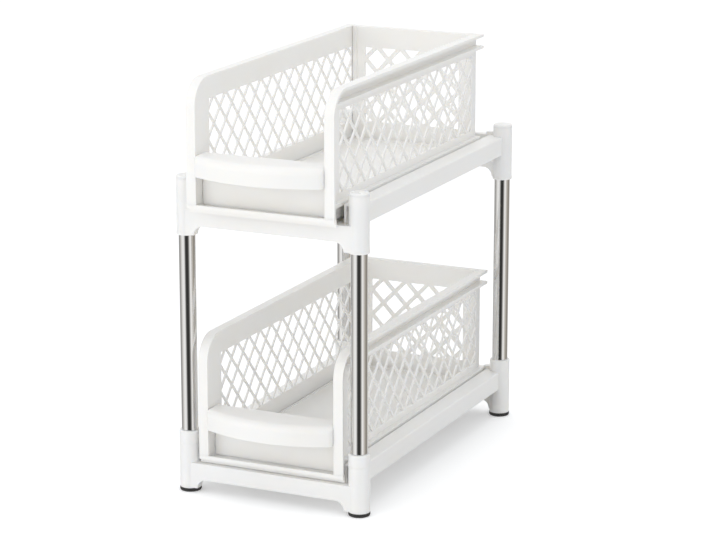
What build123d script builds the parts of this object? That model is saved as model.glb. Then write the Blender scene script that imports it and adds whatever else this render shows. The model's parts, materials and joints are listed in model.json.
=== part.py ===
from build123d import *
from math import ceil
import os

# Two-tier sliding basket organizer for the space under a sink.
# Millimetres, +Z up, the front faces -Y. Two moulded trays stand on four steel posts, and a basket
# assembled from five flat panels slides on each tray.

# Posts
tier_spacing = 262.4
tube_diameter = 17.0
tube_wall = 1.0
tube_seat_wall = 4.0
tube_fit = 0.05

# Corner sockets of the trays
socket_height = 60.0
lower_socket_diameter = 21.6
upper_socket_diameter = 20.4
socket_edge_round = 0.8
cap_seam_round = 0.3
collar_length = 13.0
collar_groove_width = 1.2
collar_groove_depth = 0.5
bead_height = 2.6
bead_proud = 0.3
plug_diameter = 12.0
plug_length = 8.0
plug_fit = 0.05

# Rubber feet and post caps
foot_height = 4.0
foot_diameter = 22.0
foot_edge_chamfer = 1.6
cap_height = 3.0
cap_edge_round = 1.8

# Tray side rails: channels open at the bottom that guard the basket on both sides
rail_top = 46.8
rail_apron = 19.5
rail_outer_offset = 3.0
rail_width = 19.1
well_side_gap = 1.1
rail_wall = 2.4
rail_edge_round = 1.5

# Tray front and rear beams, with a curved gusset at each post
beam_face_offset = 9.5
beam_depth = 9.5
beam_wall = 2.0
gusset_foot_gap = 12.5
gusset_foot_height = 1.0
gusset_radius = 9.5

# Tray floor
tray_floor_top = 27.3
tray_floor_plate = 2.2
floor_slot_width = 12.0
floor_slot_rows = 3
floor_slot_pitch = 110.0
floor_slot_margin = 11.9
floor_slot_gap = 28.0
stop_height = 3.6
stop_width = 26.0
stop_depth = 3.0
stop_setback = 6.0

keeper_height = 3.0
keeper_inset = 2.9
keeper_width = 9.0

# Travel of the baskets
basket_travel = 250.0
upper_pull = 18.5
closed_front_overhang = 7.5
closed_rear_gap = 3.5
running_gap = 0.2
stop_gap = 0.3

# Basket outline
basket_length = 370.0
basket_half_width = 79.8
rim_reach = 8.6
side_wall = 1.8
basket_top = 159.6
rim_flange = 3.2
rim_corner_radius = 27.0
second_flange_drop = 12.4
second_flange = 3.0
lower_flange_top = 48.8
lower_flange_reach = 5.6
lower_flange = 2.2
lower_flange_lip = 4.0
lower_flange_lip_wall = 2.0

# Basket floor
runner_height = 4.5
floor_edge_height = 4.2
floor_front_bar = 5.0
floor_plate = 2.4
floor_edge_wall = 2.2
runner_wall = 2.0
runner_count = 4
runner_side_inset = 5.0
runner_inset = 16.0
curb_height = 1.8
curb_wall = 1.6
curb_gap = 1.0
catch_depth = 3.0
catch_gap = 1.2
catch_width = 40.0

# Basket front panel with its bowed handle
front_setback = 14.0
front_wall = 2.2
handle_height = 86.5
handle_skirt = 21.0
handle_bow = 22.0
handle_end_reach = 5.0
handle_wall = 2.4
handle_corner_radius = 6.0
handle_edge_round = 5.0
side_clearance = 0.3
handle_clearance = 0.6

# Basket back panel
back_setback = 9.0
back_wall = 2.2
back_strip_width = 5.0
back_strip_proud = 1.5
back_return = 6.0

# Diamond lattice of the walls
lattice_top = 137.0
lattice_bottom = 56.0
lattice_front_margin = 30.0
lattice_rear_margin = 11.0
lattice_pitch = 25.6
lattice_row_pitch = 28.2
lattice_strand = 2.6
back_lattice_margin = 14.4
back_lattice_strand = 4.5

# Sizes that follow from the ones above
cut_overrun = 1.0
lower_socket_radius = lower_socket_diameter / 2
upper_socket_radius = upper_socket_diameter / 2
tube_radius = tube_diameter / 2
tube_insertion = socket_height - plug_length - tube_seat_wall
plug_radius = plug_diameter / 2
side_wall_outer = basket_half_width - rim_reach
lower_flange_x = side_wall_outer + lower_flange_reach
well_half_width = lower_flange_x + well_side_gap
rail_outer_x = well_half_width + rail_width
post_x = rail_outer_x - rail_outer_offset
post_y = (basket_length - closed_front_overhang + closed_rear_gap) / 2
lower_tray_z = foot_height
upper_tray_z = foot_height + tier_spacing
beam_face_y = post_y + beam_face_offset
basket_floor_z = tray_floor_top + running_gap + runner_height
basket_floor_top = basket_floor_z + floor_edge_height
side_wall_inner = side_wall_outer - side_wall
panel_half_width = side_wall_inner - side_clearance
closed_front_y = -(post_y + closed_front_overhang)
back_inner_y = basket_length - back_setback
back_lattice_half = panel_half_width - back_lattice_margin
back_lattice_pitch = back_lattice_half / 2
front_reach = -closed_front_y + upper_pull + handle_bow
origin_shift = (front_reach - beam_face_y) / 2


def corner_places():
    """Centres of the four posts, named by corner."""
    return {
        "front_left": (-post_x, -post_y),
        "front_right": (post_x, -post_y),
        "rear_left": (-post_x, post_y),
        "rear_right": (post_x, post_y),
    }


def revolved(points):
    """Turned solid from (radius, height) points, about Z."""
    profile = make_face(Plane.XZ * Polyline(*points, close=True))
    return revolve(profile, axis=Axis.Z)


def box_between(low, high):
    """Box from its low corner to its high corner."""
    size = [b - a for a, b in zip(low, high)]
    middle = [(a + b) / 2 for a, b in zip(low, high)]
    return Pos(*middle) * Box(*size)


def diamonds(half_length, centre_v, pitch, row_pitch, strand, low, high):
    """Diamond openings of a lattice, clipped to a window that is centred at zero along its length."""
    half_u = pitch / 2
    half_v = row_pitch / 2
    reach = (half_u ** 2 + half_v ** 2) ** 0.5
    open_share = 1 - strand / (2 * half_u * half_v / reach)
    columns = ceil(half_length / half_u)
    rows = ceil((high - low) / row_pitch)
    window = Pos(0, (low + high) / 2) * Rectangle(2 * half_length, high - low)
    cells = []
    for column in range(-columns, columns + 1):
        for row in range(-rows, rows + 1):
            lift = half_v if column % 2 else 0
            centre = (column * half_u, centre_v + row * row_pitch + lift)
            cells.append(centre)
    openings = Sketch()
    half_open_u = half_u * open_share
    half_open_v = half_v * open_share
    for u, v in cells:
        inside_u = abs(u) - half_open_u < half_length
        inside_v = low - half_open_v < v < high + half_open_v
        if inside_u and inside_v:
            corners = [(u - half_open_u, v), (u, v - half_open_v), (u + half_open_u, v), (u, v + half_open_v)]
            cell = make_face(Polyline(*corners, close=True))
            whole_u = abs(u) + half_open_u <= half_length
            whole_v = low + half_open_v <= v <= high - half_open_v
            openings += cell if whole_u and whole_v else cell & window
    return openings


def socket(radius, height, edge, ringed):
    """Corner socket: one with a collar groove near its top, or one with a bead at its foot."""
    groove_z = height - collar_length
    if ringed:
        wall = [
            (radius, 0),
            (radius, groove_z - collar_groove_width / 2),
            (radius - collar_groove_depth, groove_z),
            (radius, groove_z + collar_groove_width / 2),
        ]
    else:
        wall = [
            (radius + bead_proud, 0),
            (radius + bead_proud, bead_height),
            (radius, bead_height),
        ]
    rounded_top = [(radius, height - edge), (radius - edge, height)]
    return revolved([(0, 0)] + wall + rounded_top + [(0, height)])


def side_rail():
    """Channel of the right side, open at the bottom, along Y."""
    points = [
        (well_half_width, tray_floor_top - tray_floor_plate),
        (well_half_width, rail_top),
        (rail_outer_x, rail_top),
        (rail_outer_x, rail_top - rail_apron),
        (rail_outer_x - rail_wall, rail_top - rail_apron),
        (rail_outer_x - rail_wall, rail_top - rail_wall),
        (well_half_width + rail_wall, rail_top - rail_wall),
        (well_half_width + rail_wall, tray_floor_top - tray_floor_plate),
    ]
    profile = make_face(Polyline(*points, close=True))
    corners = [v for v in profile.vertices() if abs(v.Y - rail_top) < rail_wall / 2]
    profile = fillet(corners, rail_edge_round)
    return extrude(Plane.XZ * profile, post_y, both=True)


def beam(top):
    """Beam with its two curved gussets, hollow from behind, its face at the front beam's place."""
    foot_x = post_x - gusset_foot_gap
    curve_x = foot_x - gusset_radius
    bottom = gusset_foot_height + gusset_radius
    outline = Polyline(
        (curve_x, bottom), (-curve_x, bottom)
    ) + RadiusArc((-curve_x, bottom), (-foot_x, gusset_foot_height), -gusset_radius) + Polyline(
        (-foot_x, gusset_foot_height), (-post_x, gusset_foot_height), (-post_x, top),
        (post_x, top), (post_x, gusset_foot_height), (foot_x, gusset_foot_height)
    ) + RadiusArc((foot_x, gusset_foot_height), (curve_x, bottom), -gusset_radius)
    face = make_face(outline)
    pocket = offset(face, -beam_wall)
    front = Plane.XZ.offset(beam_face_y)
    solid = extrude(front * face, -beam_depth)
    hollow = extrude(Plane.XZ.offset(beam_face_y - beam_wall) * pocket, -beam_depth)
    return solid - hollow


def tray_floor():
    """Floor plate with drain slots and the low stop that the basket's catch meets."""
    low = tray_floor_top - tray_floor_plate
    half_width = well_half_width + rail_wall
    plate = box_between(
        (-half_width, -beam_face_y + beam_wall, low), (half_width, post_y + beam_wall, tray_floor_top)
    )
    slots = Sketch()
    slot_length = well_half_width - floor_slot_margin - floor_slot_gap / 2
    slot_centre = (floor_slot_gap + slot_length) / 2
    for row in range(floor_slot_rows):
        row_y = (row - (floor_slot_rows - 1) / 2) * floor_slot_pitch
        for side in (-1, 1):
            slots += Pos(side * slot_centre, row_y) * SlotOverall(slot_length, floor_slot_width)
    plate -= extrude(Pos(0, 0, low - cut_overrun) * slots, tray_floor_plate + 2 * cut_overrun)
    stop_y = -post_y + stop_setback
    stop = box_between(
        (-stop_width / 2, stop_y, low), (stop_width / 2, stop_y + stop_depth, tray_floor_top + stop_height)
    )
    return plate + stop


def tray(upper):
    """One tray moulding, its sockets' lower ends at height zero."""
    height = socket_height - cap_height if upper else socket_height
    radius = upper_socket_radius if upper else lower_socket_radius
    edge = cap_seam_round if upper else socket_edge_round
    body = tray_floor()
    body += side_rail()
    body += mirror(side_rail(), about=Plane.YZ)
    body += beam(tray_floor_top)
    body += Pos(0, post_y + beam_face_y) * beam(rail_top)
    keeper_low = rail_top - rail_wall
    keeper_inner = well_half_width - keeper_inset
    for side in (-1, 1):
        edges = sorted((side * keeper_inner, side * (keeper_inner + keeper_width)))
        body += box_between(
            (edges[0], post_y, keeper_low), (edges[1], beam_face_y - beam_wall, rail_top + keeper_height)
        )
    for x, y in corner_places().values():
        body += Pos(x, y) * socket(radius, height, edge, not upper)
    bore_low = 0 if upper else height - tube_insertion
    bore_high = tube_insertion if upper else height
    for x, y in corner_places().values():
        bore = Cylinder(tube_radius + tube_fit, bore_high - bore_low + cut_overrun)
        lift = (bore_high + bore_low + (-cut_overrun if upper else cut_overrun)) / 2
        body -= Pos(x, y, lift) * bore
        plug_hole = Cylinder(plug_radius + plug_fit, height + 2 * cut_overrun)
        body -= Pos(x, y, height / 2) * plug_hole
    return body


def tube():
    """Steel post between the stops of its two sockets, its lower end at height zero."""
    length = tier_spacing - socket_height + 2 * tube_insertion
    return extrude(Circle(tube_radius) - Circle(tube_radius - tube_wall), length)


def foot():
    """Rubber foot with a bevelled sole, its plug reaching up into the socket."""
    radius = foot_diameter / 2
    points = [
        (0, 0), (radius - foot_edge_chamfer, 0), (radius, foot_edge_chamfer), (radius, foot_height),
        (plug_radius, foot_height), (plug_radius, foot_height + plug_length), (0, foot_height + plug_length),
    ]
    return revolved(points)


def cap():
    """Post cap, its shoulder at height zero and its plug below."""
    disc = extrude(Circle(upper_socket_radius - cap_seam_round / 2), cap_height)
    disc = fillet(disc.edges().group_by(Axis.Z)[-1], cap_edge_round)
    return disc + extrude(Circle(plug_radius), -plug_length)


def basket_floor():
    """Floor panel with its edge lip, full-width front bar, runners, a curb all round and a catch."""
    plate_low = basket_floor_top - floor_plate
    body = box_between(
        (-side_wall_outer, 0, plate_low), (side_wall_outer, basket_length, basket_floor_top)
    )
    rim = box_between((-side_wall_outer, 0, basket_floor_z), (side_wall_outer, basket_length, plate_low))
    rim -= box_between(
        (-side_wall_outer + floor_edge_wall, floor_edge_wall, basket_floor_z),
        (side_wall_outer - floor_edge_wall, basket_length - floor_edge_wall, plate_low),
    )
    body += rim
    body += box_between(
        (-basket_half_width, 0, basket_floor_z), (basket_half_width, floor_front_bar, basket_floor_top)
    )
    runner_low = basket_floor_z - runner_height
    runner_spacing = 2 * (side_wall_outer - runner_side_inset) / (runner_count - 1)
    for runner in range(runner_count):
        centre = (runner - (runner_count - 1) / 2) * runner_spacing
        body += box_between(
            (centre - runner_wall / 2, runner_inset, runner_low),
            (centre + runner_wall / 2, basket_length - runner_inset, plate_low),
        )
    curb_x = side_wall_inner - curb_gap
    curb_front = front_setback + front_wall + curb_gap
    curb_rear = back_inner_y - back_strip_proud - curb_gap
    curb_top = basket_floor_top + curb_height
    body += box_between((-curb_x, curb_front, basket_floor_top), (curb_x, curb_rear, curb_top))
    body -= box_between(
        (-curb_x + curb_wall, curb_front + curb_wall, basket_floor_top),
        (curb_x - curb_wall, curb_rear - curb_wall, curb_top),
    )
    stop_rear = -post_y + stop_setback + stop_depth
    catch_y = stop_rear + basket_travel + stop_gap - closed_front_y
    body += box_between(
        (-catch_width / 2, catch_y, tray_floor_top + catch_gap),
        (catch_width / 2, catch_y + catch_depth, plate_low),
    )
    return body


def side_outline(inset):
    """Outline of a side panel in (length, height), with the rounded front top corner."""
    low = basket_floor_top
    top = basket_top - inset
    radius = rim_corner_radius - inset
    return make_face(
        Polyline((inset, top - radius), (inset, low), (basket_length, low), (basket_length, top))
        + Polyline((basket_length, top), (inset + radius, top))
        + RadiusArc((inset + radius, top), (inset, top - radius), -radius)
    )


def side_panel():
    """Right side panel: lattice wall, rim that turns down the front, and two flanges along it."""
    upright = Plane.YZ
    window_low = lattice_front_margin
    window_high = basket_length - lattice_rear_margin
    middle = (window_low + window_high) / 2
    openings = diamonds(
        (window_high - window_low) / 2, (lattice_top + lattice_bottom) / 2,
        lattice_pitch, lattice_row_pitch, lattice_strand, lattice_bottom, lattice_top,
    )
    wall_face = side_outline(0) - Pos(middle, 0) * openings
    body = extrude(upright.offset(side_wall_inner) * wall_face, side_wall)
    band = side_outline(0) - side_outline(rim_flange)
    body += extrude(upright.offset(side_wall_inner) * band, basket_half_width - side_wall_inner)
    second_top = basket_top - second_flange_drop
    strip = Pos(basket_length / 2, second_top - second_flange / 2) * Rectangle(basket_length, second_flange)
    second = strip & side_outline(0)
    body += extrude(upright.offset(side_wall_inner) * second, basket_half_width - side_wall_inner)
    lip_low = lower_flange_top - lower_flange_lip
    flange_points = [
        (side_wall_outer - side_wall / 2, lower_flange_top),
        (lower_flange_x, lower_flange_top),
        (lower_flange_x, lip_low),
        (lower_flange_x - lower_flange_lip_wall, lip_low),
        (lower_flange_x - lower_flange_lip_wall, lower_flange_top - lower_flange),
        (side_wall_outer - side_wall / 2, lower_flange_top - lower_flange),
    ]
    flange = make_face(Polyline(*flange_points, close=True))
    body += extrude(Plane.XZ * flange, -basket_length)
    return body


def handle():
    """Bowed handle lip, open from below."""
    half = side_wall_inner - handle_clearance
    rear = front_setback + front_wall
    bow = ThreePointArc((-half, -handle_end_reach), (0, -handle_bow), (half, -handle_end_reach))
    back = Polyline((half, -handle_end_reach), (half, rear), (-half, rear), (-half, -handle_end_reach))
    plan = make_face(bow + back)
    front_corners = [v for v in plan.vertices() if v.Y < front_setback]
    plan = fillet(front_corners, handle_corner_radius)
    block = extrude(Pos(0, 0, handle_height - handle_skirt) * plan, handle_skirt)
    top_edges = [e for e in block.edges().group_by(Axis.Z)[-1] if e.center().Y < rear - front_wall]
    block = fillet(top_edges, handle_edge_round)
    hollow = offset(plan, -handle_wall)
    hollow_low = handle_height - handle_skirt - cut_overrun
    block -= extrude(Pos(0, 0, hollow_low) * hollow, handle_skirt + cut_overrun - handle_wall)
    return block


def front_panel():
    """Low front wall with the handle along its top edge."""
    wall = box_between(
        (-panel_half_width, front_setback, basket_floor_top),
        (panel_half_width, front_setback + front_wall, handle_height - handle_edge_round),
    )
    return wall + handle()


def back_panel():
    """Back wall with a wide lattice, a top flange and end returns."""
    openings = diamonds(
        back_lattice_half, (lattice_top + lattice_bottom) / 2 + lattice_row_pitch / 2,
        back_lattice_pitch, lattice_row_pitch, back_lattice_strand, lattice_bottom, lattice_top,
    )
    face = Pos(0, (basket_floor_top + basket_top) / 2) * Rectangle(
        2 * panel_half_width, basket_top - basket_floor_top
    )
    inner = Plane.XZ.offset(-back_inner_y)
    body = extrude(inner * (face - openings), -back_wall)
    body += box_between(
        (-panel_half_width, back_inner_y, basket_top - rim_flange),
        (panel_half_width, basket_length, basket_top),
    )
    for side in (-1, 1):
        strip = sorted((side * panel_half_width, side * (panel_half_width - back_strip_width)))
        body += box_between(
            (strip[0], back_inner_y - back_strip_proud, basket_floor_top),
            (strip[1], back_inner_y + back_wall / 2, basket_top),
        )
        edge = sorted((side * panel_half_width, side * (panel_half_width - back_wall)))
        body += box_between(
            (edge[0], back_inner_y, basket_floor_top),
            (edge[1], back_inner_y + back_return + back_wall, basket_top - rim_flange / 2),
        )
    return body


def basket():
    """The five panels of one basket, its front at zero along Y, at the tray's own height."""
    return {
        "floor": basket_floor(),
        "left_side": mirror(side_panel(), about=Plane.YZ),
        "right_side": side_panel(),
        "back": back_panel(),
        "front": front_panel(),
    }


def write_part(name, solid, place):
    """Write one sub-part at its place in the part's own frame."""
    export_step(Pos(0, origin_shift) * place * solid, f"parts/{name}.step")


os.makedirs("parts", exist_ok=True)
write_part("lower_tray", tray(False), Pos(0, 0, lower_tray_z))
write_part("upper_tray", tray(True), Pos(0, 0, upper_tray_z))

tube_z = lower_tray_z + socket_height - tube_insertion
cap_z = upper_tray_z + socket_height - cap_height
for corner, (corner_x, corner_y) in corner_places().items():
    write_part(f"{corner}_foot", foot(), Pos(corner_x, corner_y))
    write_part(f"{corner}_tube", tube(), Pos(corner_x, corner_y, tube_z))
    write_part(f"{corner}_cap", cap(), Pos(corner_x, corner_y, cap_z))

panels = basket()
tiers = {
    "lower": Pos(0, closed_front_y, lower_tray_z),
    "upper": Pos(0, closed_front_y - upper_pull, upper_tray_z),
}
for tier, place in tiers.items():
    for panel_name, panel in panels.items():
        write_part(f"{tier}_basket_{panel_name}", panel, place)
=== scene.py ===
# %% [markdown]
# # A two-tier organizer with sliding baskets
# The object is two white moulded trays on four bright steel posts. A lattice basket slides on each
# tray. The engineering model is already packed, so it is loaded first and everything is fitted to it:
# a piece goes exactly where its solid says, and moves with the same body.

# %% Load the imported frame
import json
from math import cos, pi, radians, sin

import bmesh
import bpy
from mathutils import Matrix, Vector


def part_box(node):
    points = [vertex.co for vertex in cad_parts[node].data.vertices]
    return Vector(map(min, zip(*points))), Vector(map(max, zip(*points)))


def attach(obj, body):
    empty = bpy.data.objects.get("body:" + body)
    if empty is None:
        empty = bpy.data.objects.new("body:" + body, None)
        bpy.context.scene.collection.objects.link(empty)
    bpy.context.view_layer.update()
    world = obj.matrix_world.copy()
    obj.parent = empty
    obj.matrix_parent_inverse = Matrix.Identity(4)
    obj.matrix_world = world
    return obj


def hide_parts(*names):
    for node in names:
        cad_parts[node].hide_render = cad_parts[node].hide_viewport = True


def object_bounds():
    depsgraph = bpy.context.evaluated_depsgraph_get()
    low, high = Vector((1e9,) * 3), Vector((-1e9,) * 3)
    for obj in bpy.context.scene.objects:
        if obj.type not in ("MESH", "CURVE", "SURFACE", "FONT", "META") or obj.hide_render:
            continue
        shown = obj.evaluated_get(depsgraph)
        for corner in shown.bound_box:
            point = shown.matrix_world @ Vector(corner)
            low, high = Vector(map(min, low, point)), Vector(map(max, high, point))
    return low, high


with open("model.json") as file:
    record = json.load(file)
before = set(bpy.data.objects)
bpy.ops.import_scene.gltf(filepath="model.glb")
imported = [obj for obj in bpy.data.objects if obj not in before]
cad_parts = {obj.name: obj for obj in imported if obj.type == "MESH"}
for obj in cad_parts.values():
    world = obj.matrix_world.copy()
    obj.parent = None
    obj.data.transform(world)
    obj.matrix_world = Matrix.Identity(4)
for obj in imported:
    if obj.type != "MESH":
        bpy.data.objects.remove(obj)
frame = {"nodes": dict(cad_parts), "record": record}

MM = 0.001
cad_low, cad_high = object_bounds()
nodes = frame["nodes"]
print("solids:", len(nodes), "box in mm:", [round(v / MM, 1) for v in (*cad_low, *cad_high)])

# %% [markdown]
# ## Mould skin, one effect for every plastic
# Injection-moulded plastic is never a perfect mirror: the steel of the mould leaves a fine orange-peel
# skin, and the colour drifts a little where the wall is thin. A node group makes the effect once, with
# its sizes as inputs, and each plastic places it with its own values.

# %% Node group: mould skin
skin_detail = 4.0
drift_scale = 14.0
drift_detail = 3.0
drift_start = 0.42
drift_end = 0.72
roughness_drift = 0.12


def add_socket(group, name, kind, direction, value=None):
    """Adds a named socket to a node group."""
    socket = group.interface.new_socket(name=name, in_out=direction, socket_type=kind)
    if value is not None:
        socket.default_value = value


def build_mould_skin():
    """Fine skin height, a roughness that drifts, and a colour that warms a little in broad patches."""
    group = bpy.data.node_groups.new("mould_skin", "ShaderNodeTree")
    add_socket(group, "Color", "NodeSocketColor", "INPUT", (0.8, 0.8, 0.8, 1))
    add_socket(group, "Warm Color", "NodeSocketColor", "INPUT", (0.8, 0.78, 0.75, 1))
    add_socket(group, "Roughness", "NodeSocketFloat", "INPUT", 0.3)
    add_socket(group, "Grain Size", "NodeSocketFloat", "INPUT", 900.0)
    add_socket(group, "Color", "NodeSocketColor", "OUTPUT")
    add_socket(group, "Roughness", "NodeSocketFloat", "OUTPUT")
    add_socket(group, "Height", "NodeSocketFloat", "OUTPUT")
    tree = group.nodes
    link = group.links.new
    inputs = tree.new("NodeGroupInput")
    outputs = tree.new("NodeGroupOutput")
    place = tree.new("ShaderNodeTexCoord")
    grain = tree.new("ShaderNodeTexNoise")
    grain.inputs["Detail"].default_value = skin_detail
    link(place.outputs["Object"], grain.inputs["Vector"])
    link(inputs.outputs["Grain Size"], grain.inputs["Scale"])
    drift = tree.new("ShaderNodeTexNoise")
    drift.inputs["Scale"].default_value = drift_scale
    drift.inputs["Detail"].default_value = drift_detail
    link(place.outputs["Object"], drift.inputs["Vector"])
    patch = tree.new("ShaderNodeMapRange")
    patch.inputs["From Min"].default_value = drift_start
    patch.inputs["From Max"].default_value = drift_end
    link(drift.outputs["Fac"], patch.inputs["Value"])
    tint = tree.new("ShaderNodeMix")
    tint.data_type = "RGBA"
    link(patch.outputs["Result"], tint.inputs["Factor"])
    link(inputs.outputs["Color"], tint.inputs["A"])
    link(inputs.outputs["Warm Color"], tint.inputs["B"])
    link(tint.outputs["Result"], outputs.inputs["Color"])
    spread = tree.new("ShaderNodeMath")
    spread.operation = "MULTIPLY_ADD"
    spread.inputs[1].default_value = roughness_drift
    link(drift.outputs["Fac"], spread.inputs[0])
    link(inputs.outputs["Roughness"], spread.inputs[2])
    link(spread.outputs["Value"], outputs.inputs["Roughness"])
    link(grain.outputs["Fac"], outputs.inputs["Height"])
    return group


mould_skin = build_mould_skin()
print("group:", mould_skin.name, "with", len(mould_skin.nodes), "nodes")

# %% [markdown]
# ## Finishes
# Three finishes cover the whole object: white satin plastic, bright steel and black rubber. The tray,
# basket and cap plastics differ by a hair, as parts from different moulds do. The basket floor's white
# is lighter than the basket's own: that is painted light, which lifts the shade inside the basket on its
# floor and front ledge. White plastic in thin walls lets a little light through, so each has some
# subsurface scattering of a few millimetres.

# %% White plastic
plastic_ior = 1.46
plastic_specular = 0.45
skin_depth = 0.02 * MM
scatter_weight = 0.35
scatter_radius = (1.0, 0.88, 0.72)
scatter_depth = 3.5 * MM


def new_material(name):
    """A node material, its nodes, the function that links their sockets, and its Principled shader."""
    material = bpy.data.materials.new(name)
    material.use_nodes = True
    shader = material.node_tree.nodes["Principled BSDF"]
    return material, material.node_tree.nodes, material.node_tree.links.new, shader


def white_plastic(name, color, warm, roughness, bump):
    """Satin white moulding with a fine skin."""
    material, tree, link, shader = new_material(name)
    skin = tree.new("ShaderNodeGroup")
    skin.node_tree = mould_skin
    skin.inputs["Color"].default_value = (*color, 1)
    skin.inputs["Warm Color"].default_value = (*warm, 1)
    skin.inputs["Roughness"].default_value = roughness
    relief = tree.new("ShaderNodeBump")
    relief.inputs["Strength"].default_value = bump
    relief.inputs["Distance"].default_value = skin_depth
    link(skin.outputs["Color"], shader.inputs["Base Color"])
    link(skin.outputs["Roughness"], shader.inputs["Roughness"])
    link(skin.outputs["Height"], relief.inputs["Height"])
    link(relief.outputs["Normal"], shader.inputs["Normal"])
    shader.inputs["IOR"].default_value = plastic_ior
    shader.inputs["Specular IOR Level"].default_value = plastic_specular
    shader.inputs["Subsurface Weight"].default_value = scatter_weight
    shader.inputs["Subsurface Radius"].default_value = scatter_radius
    shader.inputs["Subsurface Scale"].default_value = scatter_depth
    return material


tray_white = white_plastic(
    "tray_white", color=(0.90, 0.888, 0.868), warm=(0.893, 0.876, 0.846), roughness=0.26, bump=0.5
)
basket_white = white_plastic(
    "basket_white", color=(0.90, 0.887, 0.862), warm=(0.893, 0.874, 0.838), roughness=0.24, bump=0.45
)
# painted light: the floor white is lighter than the basket white, to lift the shade on the basket floor
# and its front ledge
floor_painted_lighter_white = white_plastic(
    "basket_floor_painted_lighter_white", color=(0.925, 0.908, 0.877), warm=(0.915, 0.892, 0.852), roughness=0.26, bump=0.5
)
cap_white = white_plastic(
    "cap_white", color=(0.90, 0.89, 0.874), warm=(0.893, 0.88, 0.855), roughness=0.22, bump=0.4
)
print("plastics:", tray_white.name, basket_white.name, floor_painted_lighter_white.name, cap_white.name)

# %% [markdown]
# Bright steel tube shows long draw marks: they run along the post, so the noise is squeezed across it
# and stretched along Z before it drives the roughness and a very slight bump.

# %% Bright steel
mark_scale = (900, 900, 6)
mark_depth = 0.01 * MM
mark_strength = 0.12
mark_detail = 3.0
steel_dark = (0.76, 0.755, 0.75, 1)
steel_light = (0.82, 0.815, 0.81, 1)
smoothest = 0.04
roughest = 0.12


def bright_steel(name):
    """Polished tube with faint draw marks along its length."""
    material, tree, link, shader = new_material(name)
    place = tree.new("ShaderNodeTexCoord")
    stretch = tree.new("ShaderNodeMapping")
    stretch.inputs["Scale"].default_value = mark_scale
    marks = tree.new("ShaderNodeTexNoise")
    marks.inputs["Scale"].default_value = 1.0
    marks.inputs["Detail"].default_value = mark_detail
    link(place.outputs["Object"], stretch.inputs["Vector"])
    link(stretch.outputs["Vector"], marks.inputs["Vector"])
    polish = tree.new("ShaderNodeMapRange")
    polish.inputs["To Min"].default_value = smoothest
    polish.inputs["To Max"].default_value = roughest
    link(marks.outputs["Fac"], polish.inputs["Value"])
    link(polish.outputs["Result"], shader.inputs["Roughness"])
    relief = tree.new("ShaderNodeBump")
    relief.inputs["Strength"].default_value = mark_strength
    relief.inputs["Distance"].default_value = mark_depth
    link(marks.outputs["Fac"], relief.inputs["Height"])
    link(relief.outputs["Normal"], shader.inputs["Normal"])
    tone = tree.new("ShaderNodeMix")
    tone.data_type = "RGBA"
    tone.inputs["A"].default_value = steel_dark
    tone.inputs["B"].default_value = steel_light
    link(marks.outputs["Fac"], tone.inputs["Factor"])
    link(tone.outputs["Result"], shader.inputs["Base Color"])
    shader.inputs["Metallic"].default_value = 1.0
    return material


post_steel = bright_steel("post_bright_steel")
print("metal:", post_steel.name)

# %% [markdown]
# The feet are black rubber: matt, nearly even, and a little dusty where they have rubbed on a cupboard
# floor. It could be one flat colour, but a fine noise that mixes two dark greys and lifts the surface
# a hair keeps it from looking like ink.

# %% Black rubber
rubber_black = (0.012, 0.012, 0.012, 1)
dust_grey = (0.05, 0.048, 0.046, 1)
rubber_grain = 1400.0
rubber_detail = 5.0
rubber_relief = 0.05 * MM
rubber_bump = 0.6
rubber_roughness = 0.62


def black_rubber(name):
    """Matt rubber, a little dusty where it has rubbed."""
    material, tree, link, shader = new_material(name)
    place = tree.new("ShaderNodeTexCoord")
    grain = tree.new("ShaderNodeTexNoise")
    grain.inputs["Scale"].default_value = rubber_grain
    grain.inputs["Detail"].default_value = rubber_detail
    link(place.outputs["Object"], grain.inputs["Vector"])
    dust = tree.new("ShaderNodeMix")
    dust.data_type = "RGBA"
    dust.inputs["A"].default_value = rubber_black
    dust.inputs["B"].default_value = dust_grey
    link(grain.outputs["Fac"], dust.inputs["Factor"])
    link(dust.outputs["Result"], shader.inputs["Base Color"])
    relief = tree.new("ShaderNodeBump")
    relief.inputs["Strength"].default_value = rubber_bump
    relief.inputs["Distance"].default_value = rubber_relief
    link(grain.outputs["Fac"], relief.inputs["Height"])
    link(relief.outputs["Normal"], shader.inputs["Normal"])
    shader.inputs["Roughness"].default_value = rubber_roughness
    return material


foot_rubber = black_rubber("foot_black_rubber")
print("rubber:", foot_rubber.name)

# %% [markdown]
# ## Softened mouldings
# The trays and the lattice panels are mouldings whose solids already have the right shape, openings
# and all. What a solid lacks is the small radius that every mould leaves on its edges. Modelling a
# hundred diamonds again would only risk their places, so a copy of the solid is merged into one skin,
# its flat triangles are dissolved back to whole faces, and a bevel on its sharp edges gives the soft
# highlight. The shading is then evened by face area, so that large flat faces stay flat.

# %% Helpers for finished pieces
body_of_node = {}
for body, members in frame["record"]["behaviour"]["bodies"].items():
    for member in members:
        body_of_node[member] = body


def select_only(piece):
    """Makes one object the active one and deselects the rest."""
    bpy.ops.object.select_all(action="DESELECT")
    piece.select_set(True)
    bpy.context.view_layer.objects.active = piece


def finished(piece, node, material):
    """Gives a piece its finish and its body, and hides the solid that it stands for."""
    piece.data.materials.clear()
    piece.data.materials.append(material)
    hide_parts(node)
    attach(piece, body_of_node[node])
    print(piece.name, "stands for", node, "with", len(piece.data.polygons), "faces")


def smoothed(piece, angle):
    """Smooth faces up to an angle, with the normals evened by face area."""
    select_only(piece)
    bpy.ops.object.shade_smooth_by_angle(angle=angle)
    evened = piece.modifiers.new("even_shading", "WEIGHTED_NORMAL")
    evened.keep_sharp = True
    bpy.ops.object.modifier_apply(modifier=evened.name)


print("bodies:", *sorted(set(body_of_node.values())))

# %% A moulding from its solid
merge_gap = 0.005 * MM
flat_limit = radians(1)
edge_limit = radians(50)
edge_round = 0.4 * MM
edge_steps = 2
moulding_smooth = radians(32)


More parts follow.
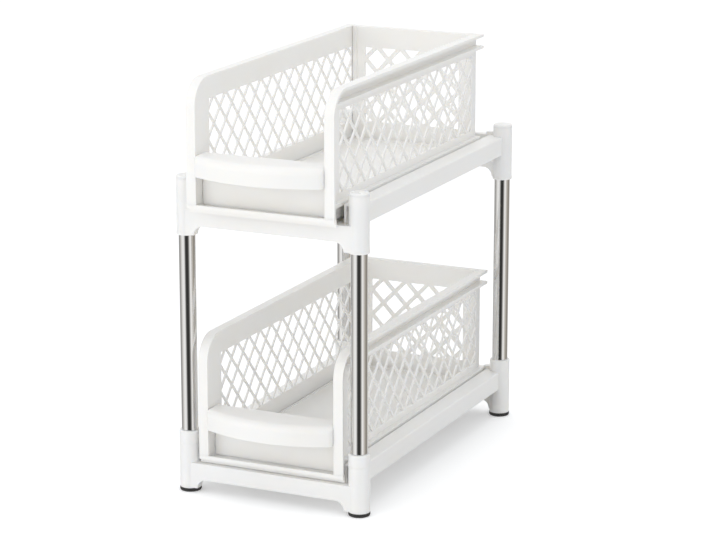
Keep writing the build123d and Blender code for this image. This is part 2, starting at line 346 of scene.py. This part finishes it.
def softened_copy(node):
    """A merged copy of a solid with a small round on every sharp edge."""
    piece = nodes[node].copy()
    piece.data = nodes[node].data.copy()
    piece.name = node + "_moulding"
    piece.parent = None
    bpy.context.scene.collection.objects.link(piece)
    select_only(piece)
    bpy.ops.object.mode_set(mode="EDIT")
    bpy.ops.mesh.select_all(action="SELECT")
    bpy.ops.mesh.remove_doubles(threshold=merge_gap)
    bpy.ops.mesh.dissolve_limited(angle_limit=flat_limit)
    bpy.ops.object.mode_set(mode="OBJECT")
    bevel = piece.modifiers.new("edge_round", "BEVEL")
    bevel.width = edge_round
    bevel.segments = edge_steps
    bevel.limit_method = "ANGLE"
    bevel.angle_limit = edge_limit
    bevel.loop_slide = False
    bpy.ops.object.modifier_apply(modifier=bevel.name)
    smoothed(piece, moulding_smooth)
    return piece


# %% Trays and basket panels
tiers = ("lower", "upper")
# the floor takes the lighter white, which is painted light on the shaded basket floor and its ledge
panel_whites = {
    "floor": floor_painted_lighter_white, "left_side": basket_white, "right_side": basket_white, "back": basket_white
}
floor_pieces = {}
for tier in tiers:
    finished(softened_copy(f"{tier}_tray"), f"{tier}_tray", tray_white)
    for panel, white in panel_whites.items():
        node = f"{tier}_basket_{panel}"
        piece = softened_copy(node)
        finished(piece, node, white)
        if panel == "floor":
            floor_pieces[tier] = piece

# %% [markdown]
# ## Front end of the basket floor
# Below the handle the floor does not end flat: its front edge stands up as a small rim, the strip
# behind it lies a little lower, and a skid under the plate closes the view below the basket. The strip
# could be inset by hand, but a bevelled copy has many faces there. Two boxes do it cleanly: one is
# united with the floor, the other is cut out of it.

# %% Boxes and booleans
def new_block(low, high):
    """A box between two corners, with its place and size applied."""
    low, high = Vector(low), Vector(high)
    bpy.ops.object.select_all(action="DESELECT")
    bpy.ops.mesh.primitive_cube_add(size=1, location=(low + high) / 2)
    block = bpy.context.object
    block.scale = high - low
    bpy.ops.object.transform_apply(location=True, rotation=True, scale=True)
    return block


def combined(piece, other, operation):
    """Unites a piece with another, or cuts the other out of it, and then deletes the other."""
    select_only(piece)
    change = piece.modifiers.new("combined", "BOOLEAN")
    change.operation = operation
    change.solver = "EXACT"
    change.object = other
    bpy.ops.object.modifier_apply(modifier=change.name)
    select_only(other)
    bpy.ops.object.delete()


# %% Skid and sunk strip
skid_setback = 4.5 * MM
skid_end_gap = 0.5 * MM
skid_lift = 0.3 * MM
skid_top = 6.5 * MM
skid_wall = 2.0 * MM
front_rim = 2.2 * MM
strip_depth = 2.0 * MM
strip_overrun = 1.0 * MM
for tier, piece in floor_pieces.items():
    floor_low, floor_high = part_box(f"{tier}_basket_floor")
    panel_low, panel_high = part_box(f"{tier}_basket_front")
    skid_front = floor_low.y + skid_setback
    skid = new_block(
        (floor_low.x + skid_end_gap, skid_front, floor_low.z + skid_lift),
        (floor_high.x - skid_end_gap, skid_front + skid_wall, floor_low.z + skid_top)
    )
    combined(piece, skid, "UNION")
    strip = new_block(
        (panel_low.x, floor_low.y + front_rim, panel_low.z - strip_depth),
        (panel_high.x, panel_high.y, panel_low.z + strip_overrun)
    )
    combined(piece, strip, "DIFFERENCE")
    smoothed(piece, moulding_smooth)
    print(piece.name, "after skid and strip:", len(piece.data.polygons), "faces")

# %% [markdown]
# ## Picking parts of a mesh by their place
# By hand, faces and edges are clicked. In a script they are chosen by where they are or which way they
# face, so one small helper deselects everything and selects what a test says yes to. The tests that
# several pieces need stand beside it.

# %% Pick helper and its tests
tolerance = 0.01 * MM
level_share = 0.9999
end_share = 0.9


def pick(piece, kind, chosen):
    """Selects the faces or edges of the mesh in edit mode for which the test is true."""
    bpy.ops.mesh.select_mode(type=kind)
    bpy.ops.mesh.select_all(action="DESELECT")
    mesh = bmesh.from_edit_mesh(piece.data)
    elements = mesh.faces if kind == "FACE" else mesh.edges
    found = [element for element in elements if chosen(element)]
    for element in found:
        element.select_set(True)
    mesh.select_flush_mode()
    bmesh.update_edit_mesh(piece.data)
    return len(found)


def edge_at(height):
    """A test for edges that lie level at a height."""
    return lambda edge: all(abs(v.co.z - height) < tolerance for v in edge.verts)


def faces_up(face):
    """True for a level face that looks up."""
    return face.normal.z > level_share


def faces_down(face):
    """True for a level face that looks down."""
    return face.normal.z < -level_share


def is_end(face):
    """True for the flat end of an upright tube."""
    return abs(face.normal.z) > end_share


def is_rim(edge):
    """True where a flat end meets a round wall."""
    ends = [is_end(face) for face in edge.link_faces]
    return len(ends) == 2 and ends[0] != ends[1]


print("places match within", tolerance / MM, "mm")

# %% [markdown]
# ## Turned pieces and their copies
# Posts, feet and caps are all round, and each stands at the four corners. So each one starts as a capped
# cylinder, is shaped once at the front left corner, and is copied from there. A copy could share the
# mesh of the first, but each stands for a solid of its own, so each gets a mesh of its own.

# %% Start, close and copy
round_sides = 96
closing_gap = 0.001 * MM
turned_smooth = radians(35)
corners = ("front_left", "front_right", "rear_left", "rear_right")


def centre_of(node):
    """Middle of a node's box."""
    low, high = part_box(node)
    return (Vector(low) + Vector(high)) / 2


def new_cylinder(name, radius, low_z, high_z, place):
    """A capped cylinder at its size and place, opened in edit mode."""
    bpy.ops.object.select_all(action="DESELECT")
    middle = (place.x, place.y, (low_z + high_z) / 2)
    height = high_z - low_z
    bpy.ops.mesh.primitive_cylinder_add(vertices=round_sides, radius=radius, depth=height, location=middle)
    piece = bpy.context.object
    piece.name = name
    bpy.ops.object.transform_apply(location=True, rotation=False, scale=False)
    bpy.ops.object.mode_set(mode="EDIT")
    return piece


def extruded(step):
    """Extrudes what is selected by a step along the world's axes."""
    bpy.ops.mesh.extrude_region_move(TRANSFORM_OT_translate={"value": step, "orient_type": "GLOBAL"})


def closed(piece):
    """Merges doubles, points every face outwards, leaves edit mode and smooths the piece."""
    bpy.ops.mesh.select_all(action="SELECT")
    bpy.ops.mesh.remove_doubles(threshold=closing_gap)
    bpy.ops.mesh.normals_make_consistent(inside=False)
    bpy.ops.object.mode_set(mode="OBJECT")
    smoothed(piece, turned_smooth)
    return piece


def placed_copy(piece, name, shift):
    """A copy with its own mesh, moved by a vector and left at the origin."""
    select_only(piece)
    bpy.ops.object.duplicate()
    twin = bpy.context.object
    twin.name = name
    bpy.ops.transform.translate(value=shift)
    bpy.ops.object.transform_apply(location=True, rotation=False, scale=False)
    return twin


def finished_corners(first, part, ending, material):
    """Copies the front left piece to the other corners and finishes all four."""
    pieces = [first]
    for corner in corners[1:]:
        shift = centre_of(f"{corner}_{part}") - centre_of(f"{corners[0]}_{part}")
        pieces.append(placed_copy(first, f"{corner}_{part}_{ending}", shift))
    for corner, piece in zip(corners, pieces):
        finished(piece, f"{corner}_{part}", material)


print("corners:", *corners)

# %% [markdown]
# ## Steel posts
# Each post is a thin-walled tube, cut square and lightly deburred. A plain cylinder would do while its
# ends are hidden, but a real tube is hollow, so both end faces are inset by the wall and bridged into
# a bore, and the four rims get a tiny bevel. One tube is made and copied to the other corners.

# %% Tube
tube_wall = 1.0 * MM
deburr = 0.15 * MM


def steel_tube(node):
    """Hollow tube at a node's place."""
    low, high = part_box(node)
    piece = new_cylinder(node + "_post", (high.x - low.x) / 2, low.z, high.z, centre_of(node))
    pick(piece, "FACE", is_end)
    bpy.ops.mesh.inset(thickness=tube_wall)
    bpy.ops.mesh.bridge_edge_loops()
    pick(piece, "EDGE", is_rim)
    bpy.ops.mesh.bevel(offset=deburr, segments=2, affect="EDGES")
    return closed(piece)


finished_corners(steel_tube("front_left_tube"), "tube", "post", post_steel)

# %% [markdown]
# ## Rubber feet
# The foot is a soft disc with a plug that is pushed into the socket of the tray. The real one has a
# rounded sole and a grip ring pressed into it. It could be spun from a profile. Here a cylinder is
# shaped instead: its sole rim is bevelled, the sole is inset and sunk for the ring, and the top is inset
# and raised for the plug.

# %% Foot
plug_radius = 6.0 * MM
plug_round = 0.8 * MM
foot_rise = 4.0 * MM
sole_round = 1.6 * MM
shoulder_round = 0.3 * MM
ring_margin = 2.0 * MM
ring_width = 1.2 * MM
ring_depth = 0.6 * MM
pad_rise = 0.5 * MM


def add_plug(piece, collar, reach):
    """Insets the face that is picked down to the plug's radius, and extrudes the plug by a reach."""
    bpy.ops.mesh.inset(thickness=collar - plug_radius)
    extruded((0, 0, reach))


def rubber_foot(node):
    """Foot disc with a rounded sole, a grip ring and its plug."""
    low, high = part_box(node)
    radius = (high.x - low.x) / 2
    top = low.z + foot_rise
    piece = new_cylinder(node + "_pad", radius, low.z, top, centre_of(node))
    pick(piece, "EDGE", edge_at(low.z))
    bpy.ops.mesh.bevel(offset=sole_round, segments=5, affect="EDGES")
    pick(piece, "EDGE", edge_at(top))
    bpy.ops.mesh.bevel(offset=shoulder_round, segments=2, affect="EDGES")
    pick(piece, "FACE", faces_down)
    bpy.ops.mesh.inset(thickness=ring_margin)
    bpy.ops.mesh.inset(thickness=ring_width, depth=-ring_depth)
    bpy.ops.mesh.inset(thickness=ring_width)
    bpy.ops.mesh.inset(thickness=ring_width, depth=pad_rise)
    pick(piece, "FACE", faces_up)
    add_plug(piece, radius - shoulder_round, high.z - top)
    pick(piece, "EDGE", edge_at(high.z))
    bpy.ops.mesh.bevel(offset=plug_round, segments=3, affect="EDGES")
    return closed(piece)


finished_corners(rubber_foot("front_left_foot"), "foot", "pad", foot_rubber)

# %% [markdown]
# ## Post caps
# The cap closes the upper socket so neatly that its seam hardly shows. Its top rim is well rounded and
# its crown sinks a little towards the middle, where the mould's gate was. It could be spun from a
# profile. A cylinder needs fewer steps: the rim is one wide bevel, and the crown is two insets that
# sink by a few hundredths of a millimetre in all.

# %% Cap
cap_rise = 3.0 * MM
cap_round = 1.8 * MM
crown_edge = 1.0 * MM
crown_edge_sink = 0.02 * MM
crown_slope = 5.0 * MM
crown_sink = 0.04 * MM
seam_round = 0.1 * MM


def post_cap(node):
    """Cap disc with a rounded rim, a shallow dish and its plug below."""
    low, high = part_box(node)
    radius = (high.x - low.x) / 2
    seat = high.z - cap_rise
    piece = new_cylinder(node + "_lid", radius, seat, high.z, centre_of(node))
    pick(piece, "EDGE", edge_at(high.z))
    bpy.ops.mesh.bevel(offset=cap_round, segments=7, affect="EDGES")
    pick(piece, "FACE", faces_up)
    bpy.ops.mesh.inset(thickness=crown_edge, depth=-crown_edge_sink)
    bpy.ops.mesh.inset(thickness=crown_slope, depth=-crown_sink)
    pick(piece, "EDGE", edge_at(seat))
    bpy.ops.mesh.bevel(offset=seam_round, segments=2, affect="EDGES")
    pick(piece, "FACE", faces_down)
    add_plug(piece, radius - seam_round, low.z - seat)
    pick(piece, "EDGE", edge_at(low.z))
    bpy.ops.mesh.bevel(offset=plug_round, segments=3, affect="EDGES")
    return closed(piece)


finished_corners(post_cap("front_left_cap"), "cap", "lid", cap_white)

# %% [markdown]
# ## Basket front with its bowed handle
# The low front wall carries a handle that bows forward in one shallow arc, rounded like a pillow at its
# top and ends and open from below for the fingers. Its outline is drawn as by hand, by extruding one
# edge point after point, then filled and raised to the skirt's height.

# %% Drawn block of the handle
bow_steps = 28
corner_reach = 9.0 * MM


def bow_outline(half, tip_y, end_y, rear_y):
    """Corner points of the plan: the rear edge's ends and an arc through the two ends and the tip."""
    rise = end_y - tip_y
    radius = (half ** 2 + rise ** 2) / (2 * rise)
    inner = half - corner_reach
    across = [-half] + [inner * (2 * i / bow_steps - 1) for i in range(bow_steps + 1)] + [half]
    arc = [(x, tip_y + radius - (radius ** 2 - x ** 2) ** 0.5) for x in across]
    return [(-half, rear_y)] + arc + [(half, rear_y)]


def drawn_block(name, outline, low_z, rise):
    """A block whose plan is drawn by extruding a point along its outline."""
    bpy.ops.object.select_all(action="DESELECT")
    bpy.ops.mesh.primitive_plane_add(size=MM, location=(0, 0, 0))
    piece = bpy.context.object
    piece.name = name
    bpy.ops.object.mode_set(mode="EDIT")
    bpy.ops.mesh.select_mode(type="VERT")
    bpy.ops.mesh.select_all(action="SELECT")
    bpy.ops.mesh.merge(type="CENTER")
    bpy.ops.transform.translate(value=(*outline[0], low_z))
    for before, after in zip(outline, outline[1:]):
        extruded((after[0] - before[0], after[1] - before[1], 0))
    bpy.ops.mesh.select_all(action="SELECT")
    bpy.ops.mesh.edge_face_add()
    extruded((0, 0, rise))
    bpy.ops.mesh.select_all(action="SELECT")
    bpy.ops.mesh.normals_make_consistent(inside=False)
    return piece


panel_low, panel_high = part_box("lower_basket_front")
handle_skirt = 21.0 * MM
end_setback = 17.0 * MM
end_growth = 0.1 * MM
handle_half = panel_high.x + end_growth
handle_end = panel_low.y + end_setback
handle_low = panel_high.z - handle_skirt
panel_rear = panel_high.y
plan = bow_outline(handle_half, panel_low.y, handle_end, panel_rear)
handle = drawn_block("lower_basket_front_panel", plan, handle_low, handle_skirt)
print(handle.name, "drawn with", len(plan), "points")

# %% [markdown]
# Three bevels shape the block: the two front corners, the wide top round, and the thin bottom edge. At
# the ends, where the top edge runs back to the panel, the real round is narrower. The bevel operator has
# one width for all its edges, so the top gets bevel weights and a bevel modifier that follows them.

# %% Rounds of the handle
corner_round = 4.0 * MM
top_round = 8.5 * MM
bottom_round = 0.9 * MM
end_weight = 0.42


def is_upright(edge):
    """True for an edge along Z."""
    return (edge.verts[0].co - edge.verts[1].co).to_2d().length < tolerance


def at_rear(edge):
    """True for an edge on the rear face."""
    return all(v.co.y > panel_rear - tolerance for v in edge.verts)


def front_corner(edge):
    """True for the upright edge at either end of the bow."""
    start = edge.verts[0].co
    at_end = abs(start.x) > handle_half - tolerance and start.y < handle_end + tolerance
    return at_end and is_upright(edge)


def weigh_top(piece, height):
    """Gives the top rim bevel weights: full along the front, under half where it runs back at the ends."""
    mesh = bmesh.from_edit_mesh(piece.data)
    weights = mesh.edges.layers.float.new("bevel_weight_edge")
    for edge in mesh.edges:
        if edge_at(height)(edge) and not at_rear(edge):
            run = (edge.verts[0].co - edge.verts[1].co).to_2d().normalized()
            edge[weights] = end_weight + (1 - end_weight) * abs(run.x)
    bmesh.update_edit_mesh(piece.data)


corner_count = pick(handle, "EDGE", front_corner)
bpy.ops.mesh.bevel(offset=corner_round, segments=7, affect="EDGES", clamp_overlap=False)
weigh_top(handle, panel_high.z)
bpy.ops.object.mode_set(mode="OBJECT")
pillow = handle.modifiers.new("pillow_round", "BEVEL")
pillow.limit_method = "WEIGHT"
pillow.width = top_round
pillow.segments = 9
pillow.use_clamp_overlap = False
pillow.loop_slide = False
bpy.ops.object.modifier_apply(modifier=pillow.name)
bpy.ops.object.mode_set(mode="EDIT")
bottom_count = pick(handle, "EDGE", lambda edge: edge_at(handle_low)(edge) and not at_rear(edge))
bpy.ops.mesh.bevel(offset=bottom_round, segments=3, affect="EDGES", clamp_overlap=False)
print("front corners:", corner_count, "bottom edges:", bottom_count)

# %% [markdown]
# Fingers reach into the handle from below, so its underside is inset by the wall and pushed up into the
# block. The front wall of the basket is a thin box that reaches down into the sunk strip. It could just
# stand against the handle, but then two faces would share one plane. A boolean union grows handle and
# wall together instead, so the back is one flush face. The upper basket's front is a copy of the lower.

# %% Hollow underside and front wall
handle_wall = 1.6 * MM
handle_roof = 1.5 * MM
underside_area = 500 * MM * MM
front_wall = 2.2 * MM
wall_round = 0.35 * MM
pick(handle, "FACE", lambda face: faces_down(face) and face.calc_area() > underside_area)
bpy.ops.mesh.inset(thickness=handle_wall)
extruded((0, 0, handle_skirt - top_round - handle_roof))
bpy.ops.object.mode_set(mode="OBJECT")

wall = new_block(
    (-panel_high.x, panel_rear - front_wall, panel_low.z - strip_depth),
    (panel_high.x, panel_rear, panel_high.z - top_round)
)
bpy.ops.object.mode_set(mode="EDIT")
pick(wall, "EDGE", lambda edge: True)
bpy.ops.mesh.bevel(offset=wall_round, segments=2, affect="EDGES")
closed(wall)
combined(handle, wall, "UNION")
select_only(handle)
bpy.ops.object.mode_set(mode="EDIT")
closed(handle)

lift = Vector(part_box("upper_basket_front")[0]) - Vector(panel_low)
upper_front = placed_copy(handle, "upper_basket_front_panel", lift)
finished(handle, "lower_basket_front", basket_white)
finished(upper_front, "upper_basket_front", basket_white)

# %% [markdown]
# ## Studio
# The photograph shows the product on plain white. Its studio is rebuilt from four things: a pale floor
# that keeps the shadow, a world that is white for the camera, two soft boxes, and the camera.
#
# The floor is a large plane. A stronger lamp could make it white, but it would wash the shadow and the
# object out too. So its own colour stays a plain pale grey, and a little light of its own, for camera
# rays only, lifts it to white. Glossy rays pass it by, so that the posts mirror the room instead.

# %% Floor
floor_reach = 6.0
floor_grey = (0.88, 0.88, 0.88, 1)
camera_lift = 0.3


def floor_material():
    """Pale floor: its own diffuse shade keeps the shadow, and a lift for the camera makes it white."""
    material, tree, link, shader = new_material("studio_floor")
    tree.remove(shader)
    output = tree["Material Output"]
    paint = tree.new("ShaderNodeBsdfDiffuse")
    paint.inputs["Color"].default_value = floor_grey
    lift = tree.new("ShaderNodeEmission")
    path = tree.new("ShaderNodeLightPath")
    strength = tree.new("ShaderNodeMath")
    strength.operation = "MULTIPLY"
    strength.inputs[1].default_value = camera_lift
    link(path.outputs["Is Camera Ray"], strength.inputs[0])
    link(strength.outputs["Value"], lift.inputs["Strength"])
    both = tree.new("ShaderNodeAddShader")
    link(paint.outputs["BSDF"], both.inputs[0])
    link(lift.outputs["Emission"], both.inputs[1])
    link(both.outputs["Shader"], output.inputs["Surface"])
    return material


bpy.ops.object.select_all(action="DESELECT")
bpy.ops.mesh.primitive_plane_add(size=2 * floor_reach, location=(0, 0, cad_low.z))
floor = bpy.context.object
floor.name = "studio_floor"
floor.data.materials.append(floor_material())
floor.visible_glossy = False
print("floor:", floor.name)

# %% [markdown]
# The world does three jobs at once, told apart by Light Path. Camera rays see white. The object's light
# is even from all sides. Glossy rays see a studio: bright cards left and right and a dark strip behind
# the camera. That strip is what gives a chrome tube its dark middle line. A real studio hangs black
# cards for it. Here one colour ramp that runs round the room is simpler, and it costs no lamps.

# %% World
view_azimuth = radians(24.946)
even_light = (0.887, 0.902, 0.921)
room_shades = (
    (-180, (1.0, 1.0, 1.0)),
    (-150, (0.85, 0.84, 0.83)),
    (-122, (0.30, 0.30, 0.30)),
    (-100, (0.50, 0.49, 0.47)),
    (-82, (0.80, 0.79, 0.77)),
    (-66, (1.0, 1.0, 0.99)),
    (-45, (1.0, 1.0, 0.99)),
    (-36, (0.72, 0.72, 0.71)),
    (-25, (0.12, 0.12, 0.118)),
    (-14, (0.045, 0.045, 0.043)),
    (4, (0.036, 0.036, 0.034)),
    (15, (0.085, 0.083, 0.08)),
    (26, (0.40, 0.395, 0.385)),
    (38, (1.0, 0.99, 0.97)),
    (50, (1.0, 0.99, 0.97)),
    (64, (0.72, 0.69, 0.65)),
    (80, (0.50, 0.47, 0.42)),
    (104, (0.30, 0.275, 0.24)),
    (122, (0.32, 0.30, 0.27)),
    (150, (0.80, 0.79, 0.77)),
    (180, (1.0, 1.0, 1.0)),
)


def studio_world():
    """White for the camera, even light for the object, and strip lights for the steel to reflect."""
    world = bpy.data.worlds.new("studio")
    world.use_nodes = True
    tree = world.node_tree.nodes
    link = world.node_tree.links.new
    background = tree["Background"]
    place = tree.new("ShaderNodeTexCoord")
    turn = tree.new("ShaderNodeMapping")
    turn.vector_type = "POINT"
    turn.inputs["Rotation"].default_value = (0, 0, pi / 2 - view_azimuth)
    round_the_room = tree.new("ShaderNodeTexGradient")
    round_the_room.gradient_type = "RADIAL"
    link(place.outputs["Generated"], turn.inputs["Vector"])
    link(turn.outputs["Vector"], round_the_room.inputs["Vector"])
    room = tree.new("ShaderNodeValToRGB")
    room.color_ramp.interpolation = "LINEAR"
    stops = room.color_ramp.elements
    for number, (angle, shade) in enumerate(room_shades):
        position = 0.5 + angle / 360
        stop = stops[number] if number < 2 else stops.new(position)
        stop.position = position
        stop.color = (*shade, 1)
    link(round_the_room.outputs["Fac"], room.inputs["Fac"])
    path = tree.new("ShaderNodeLightPath")
    mirror = tree.new("ShaderNodeMix")
    mirror.data_type = "RGBA"
    mirror.inputs["A"].default_value = (*even_light, 1)
    link(path.outputs["Is Glossy Ray"], mirror.inputs["Factor"])
    link(room.outputs["Color"], mirror.inputs["B"])
    seen = tree.new("ShaderNodeMix")
    seen.data_type = "RGBA"
    seen.inputs["B"].default_value = (1, 1, 1, 1)
    link(path.outputs["Is Camera Ray"], seen.inputs["Factor"])
    link(mirror.outputs["Result"], seen.inputs["A"])
    link(seen.outputs["Result"], background.inputs["Color"])
    bpy.context.scene.world = world
    return world


world = studio_world()
bpy.context.scene.view_settings.view_transform = "Standard"
print("world:", world.name, "with", len(room_shades), "shades round the room")

# %% [markdown]
# Two soft boxes model the forms. The wide one stands low in front and a little to the left, so that the
# fronts are brighter than the right-hand sides. The one overhead draws the shadow below the handles
# and on the floor. Both are weak, so that no white surface clips.

# %% Lamps
def towards(azimuth, elevation):
    """The direction from the object to a place, seen from the front at an azimuth and elevation."""
    return Vector((sin(azimuth) * cos(elevation), -cos(azimuth) * cos(elevation), sin(elevation)))


def soft_lamp(name, azimuth, elevation, distance, aim, width, height, power):
    """A rectangular soft box that faces a point, seen from the front at an azimuth and elevation."""
    data = bpy.data.lights.new(name, "AREA")
    data.shape = "RECTANGLE"
    data.size = width
    data.size_y = height
    data.energy = power
    lamp = bpy.data.objects.new(name, data)
    away = towards(azimuth, elevation)
    lamp.location = Vector(aim) + away * distance
    lamp.rotation_euler = (-away).to_track_quat("-Z", "Y").to_euler()
    lamp.visible_glossy = False
    bpy.context.scene.collection.objects.link(lamp)
    return lamp


front_lamp = soft_lamp(
    "front_soft_box", azimuth=radians(-15), elevation=radians(8), distance=2.6,
    aim=(0, 0, 0.25), width=2.2, height=1.1, power=12.4
)
overhead_lamp = soft_lamp(
    "overhead_soft_box", azimuth=0, elevation=radians(84), distance=2.4,
    aim=(0, 0, 0.2), width=1.4, height=1.4, power=6
)
print("lamps:", front_lamp.name, overhead_lamp.name)

# %% [markdown]
# ## Camera
# The camera stands where the photograph was taken from: a little to the right of the front and a little
# above, with a long lens, so the verticals stay nearly parallel.

# %% Camera
view_elevation = radians(14.387)
view_distance = 2838.0 * MM
aim_height = 200.0 * MM
aim_right = 6.828 * MM
aim_up = -3.448 * MM
lens = 137.13
camera_reach = 50.0
post_middle_y = (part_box("front_left_foot")[0].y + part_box("rear_left_foot")[1].y) / 2

back = towards(view_azimuth, view_elevation)
right = Vector((cos(view_azimuth), sin(view_azimuth), 0))
up = back.cross(right)
camera_data = bpy.data.cameras.new("photo_camera")
camera_data.lens = lens
camera_data.clip_end = camera_reach
camera = bpy.data.objects.new("photo_camera", camera_data)
aim = Vector((0, post_middle_y, aim_height)) + right * aim_right + up * aim_up
camera.location = aim + back * view_distance
camera.rotation_euler = (pi / 2 - view_elevation, 0, view_azimuth)
bpy.context.scene.collection.objects.link(camera)
bpy.context.scene.camera = camera
print("camera at", [round(v, 3) for v in camera.location])
